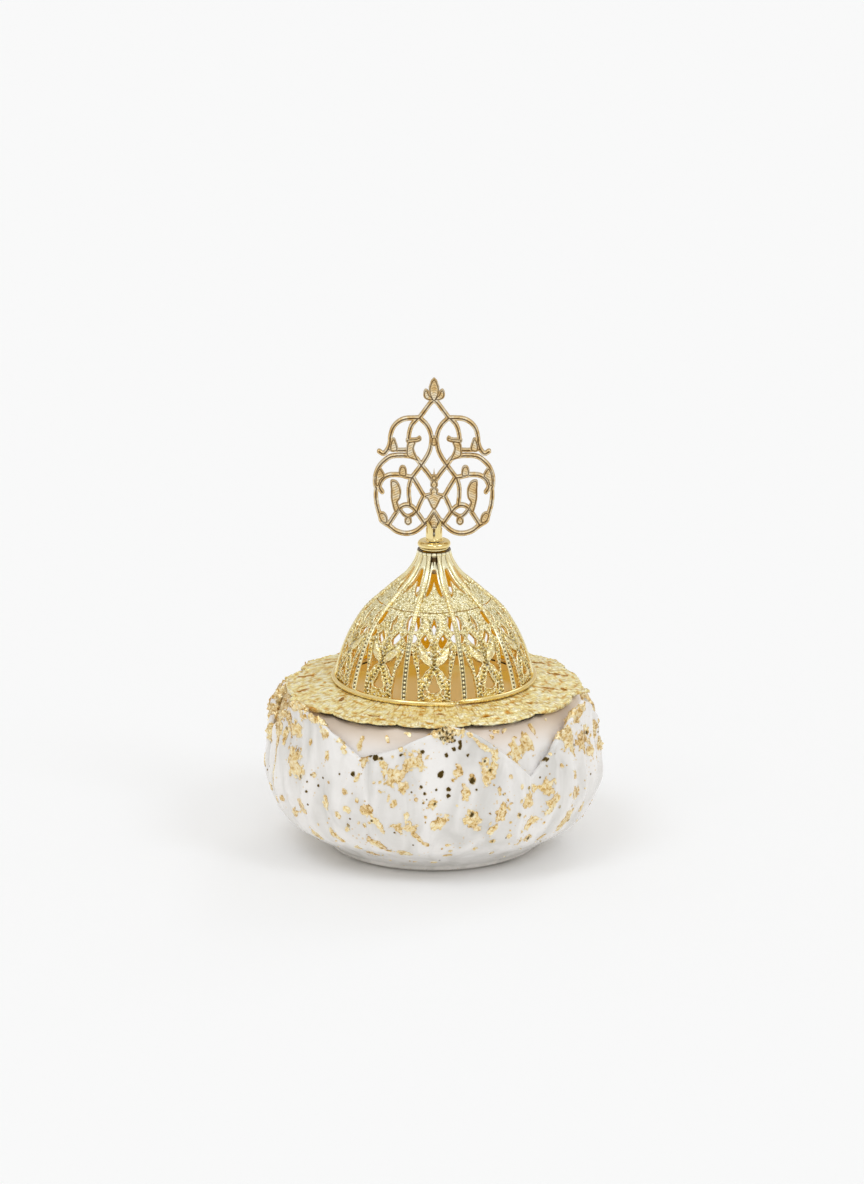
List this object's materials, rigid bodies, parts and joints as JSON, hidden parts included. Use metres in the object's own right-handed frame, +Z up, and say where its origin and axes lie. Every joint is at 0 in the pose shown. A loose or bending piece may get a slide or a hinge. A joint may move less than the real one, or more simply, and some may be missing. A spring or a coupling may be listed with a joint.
{
  "type": "marble incense burner",
  "caption": "Lidded table incense burner: lotus-petal glazed bowl with gold leaf, brass coal cup, and a pierced gilded dome lid with an openwork finial.",
  "frame": {"origin": "centre of the foot on the table, under the bowl's axis", "axes": "+Z up through the finial, -Y towards the viewer of the picture, +X to the right"},
  "size_m": [0.1316, 0.1329, 0.1879],
  "materials": {
    "white_glaze": "glossy white glaze with soft grey marbling and gold-leaf flakes",
    "gilding": "granulated bright gold plate",
    "polished_gold": "polished gold plate",
    "antique_gold": "satin gold with dark engraved lines",
    "brass": "spun, satin",
    "steel": "plain"
  },
  "bodies": {
    "bowl": {"bowl": "white_glaze"},
    "coal_cup": {"coal_cup": "brass"},
    "lid": {"lid_plate": "gilding", "locating_sleeve": "gilding", "base_ring": "polished_gold", "dome_lower_shell": "gilding", "dome_upper_shell": "gilding", "beaded_rib_1": "gilding", "beaded_rib_2": "gilding", "beaded_rib_3": "gilding", "beaded_rib_4": "gilding", "beaded_rib_5": "gilding", "beaded_rib_6": "gilding", "beaded_rib_7": "gilding", "beaded_rib_8": "gilding", "beaded_rib_9": "gilding", "beaded_rib_10": "gilding", "collar": "polished_gold", "finial_socket": "polished_gold", "finial_stud": "steel", "stud_washer": "steel", "stud_nut": "steel", "finial_plate": "antique_gold"}
  },
  "joints": [
    {"name": "lid_lift", "type": "slide", "parent": "bowl", "child": "lid", "axis": [0, 0, 1], "range_m": [0, 0.12]},
    {"name": "coal_cup_lift", "type": "slide", "parent": "bowl", "child": "coal_cup", "axis": [0, 0, 1], "range_m": [0, 0.06]}
  ]
}
